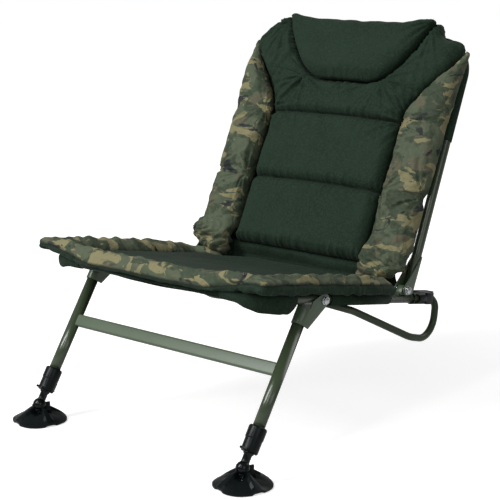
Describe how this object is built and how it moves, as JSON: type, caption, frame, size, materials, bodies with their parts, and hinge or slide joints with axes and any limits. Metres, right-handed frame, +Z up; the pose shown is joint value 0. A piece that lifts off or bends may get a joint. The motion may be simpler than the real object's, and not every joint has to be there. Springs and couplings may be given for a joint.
{
  "type": "carp fishing chair",
  "caption": "Low folding fishing chair: padded camouflage seat and reclined padded backrest on a bent tube frame, telescopic front legs with swivelling mud feet and a bent rear bar.",
  "frame": {"origin": "centre of the bounding box at the ground, under the chair, with the mud feet flat on the ground", "axes": "+Z up, -Y the way the sitter faces, +X the sitter's left"},
  "size_m": [0.627, 0.757, 0.7514],
  "materials": {
    "frame_paint": "satin",
    "bracket_paint": "satin",
    "zinc": "bright",
    "black_plastic": "satin",
    "cloth_green": "matte",
    "cloth_camo": "matte"
  },
  "bodies": {
    "seat": {"seat_frame": "frame_paint", "front_tunnel": "cloth_green", "seat_sling": "cloth_green", "seat_cushion": "cloth_camo", "hinge_gusset": "cloth_green", "leg_bolt_left": "zinc", "back_bolt_left": "zinc", "back_ear_left": "bracket_paint", "rail_clip_left": "black_plastic", "rail_tunnel_left": "cloth_green", "corner_pocket_left": "cloth_camo", "leg_bolt_right": "zinc", "back_bolt_right": "zinc", "back_ear_right": "bracket_paint", "rail_clip_right": "black_plastic", "rail_tunnel_right": "cloth_green", "corner_pocket_right": "cloth_camo"},
    "backrest": {"back_frame": "frame_paint", "back_tunnel": "cloth_green", "back_sling": "cloth_green", "back_pad": "cloth_green", "headrest_pillow": "cloth_green", "back_bracket_left": "bracket_paint", "back_bolster_left": "cloth_camo", "back_bracket_right": "bracket_paint", "back_bolster_right": "cloth_camo"},
    "front_legs": {"leg_crossbar": "bracket_paint", "leg_tube_left": "frame_paint", "leg_bracket_left": "bracket_paint", "leg_collar_left": "black_plastic", "lever_pin_left": "zinc", "leg_tube_right": "frame_paint", "leg_bracket_right": "bracket_paint", "leg_collar_right": "black_plastic", "lever_pin_right": "zinc"},
    "rear_bar": {"rear_bar": "frame_paint"},
    "lower_leg_left": {"inner_leg_left": "frame_paint", "ball_stud_left": "black_plastic"},
    "foot_left": {"mud_foot_left": "black_plastic"},
    "lever_left": {"lock_lever_left": "black_plastic"},
    "lower_leg_right": {"inner_leg_right": "frame_paint", "ball_stud_right": "black_plastic"},
    "foot_right": {"mud_foot_right": "black_plastic"},
    "lever_right": {"lock_lever_right": "black_plastic"}
  },
  "joints": [
    {"name": "backrest_fold", "type": "hinge", "parent": "seat", "child": "backrest", "pos_m": [0, 0.1379, 0.25783], "axis": [1, 0, 0], "range_deg": [0, 70], "deforming": ["hinge_gusset"]},
    {"name": "front_leg_fold", "type": "hinge", "parent": "seat", "child": "front_legs", "pos_m": [0, -0.11986, 0.28832], "axis": [-1, 0, 0], "range_deg": [-85, 0]},
    {"name": "rear_bar_fold", "type": "hinge", "parent": "seat", "child": "rear_bar", "pos_m": [0, -0.11986, 0.28832], "axis": [-1, 0, 0], "range_deg": [0, 60]},
    {"name": "leg_slide_left", "type": "slide", "parent": "front_legs", "child": "lower_leg_left", "axis": [0, -0.5534, -0.8329], "range_m": [0, 0.12]},
    {"name": "lock_lever_left", "type": "hinge", "parent": "front_legs", "child": "lever_left", "pos_m": [0.26, -0.28481, 0.06895], "axis": [1, 0, 0], "range_deg": [0, 12], "stiffness_Nm_per_rad": 0.4},
    {"name": "foot_tilt_left", "type": "hinge", "parent": "lower_leg_left", "child": "foot_left", "pos_m": [0.26, -0.32497, 0.032], "axis": [1, 0, 0], "range_deg": [-20, 20]},
    {"name": "leg_slide_right", "type": "slide", "parent": "front_legs", "child": "lower_leg_right", "axis": [0, -0.5534, -0.8329], "range_m": [0, 0.12]},
    {"name": "lock_lever_right", "type": "hinge", "parent": "front_legs", "child": "lever_right", "pos_m": [-0.26, -0.28481, 0.06895], "axis": [1, 0, 0], "range_deg": [0, 12], "stiffness_Nm_per_rad": 0.4},
    {"name": "foot_tilt_right", "type": "hinge", "parent": "lower_leg_right", "child": "foot_right", "pos_m": [-0.26, -0.32497, 0.032], "axis": [1, 0, 0], "range_deg": [-20, 20]}
  ]
}
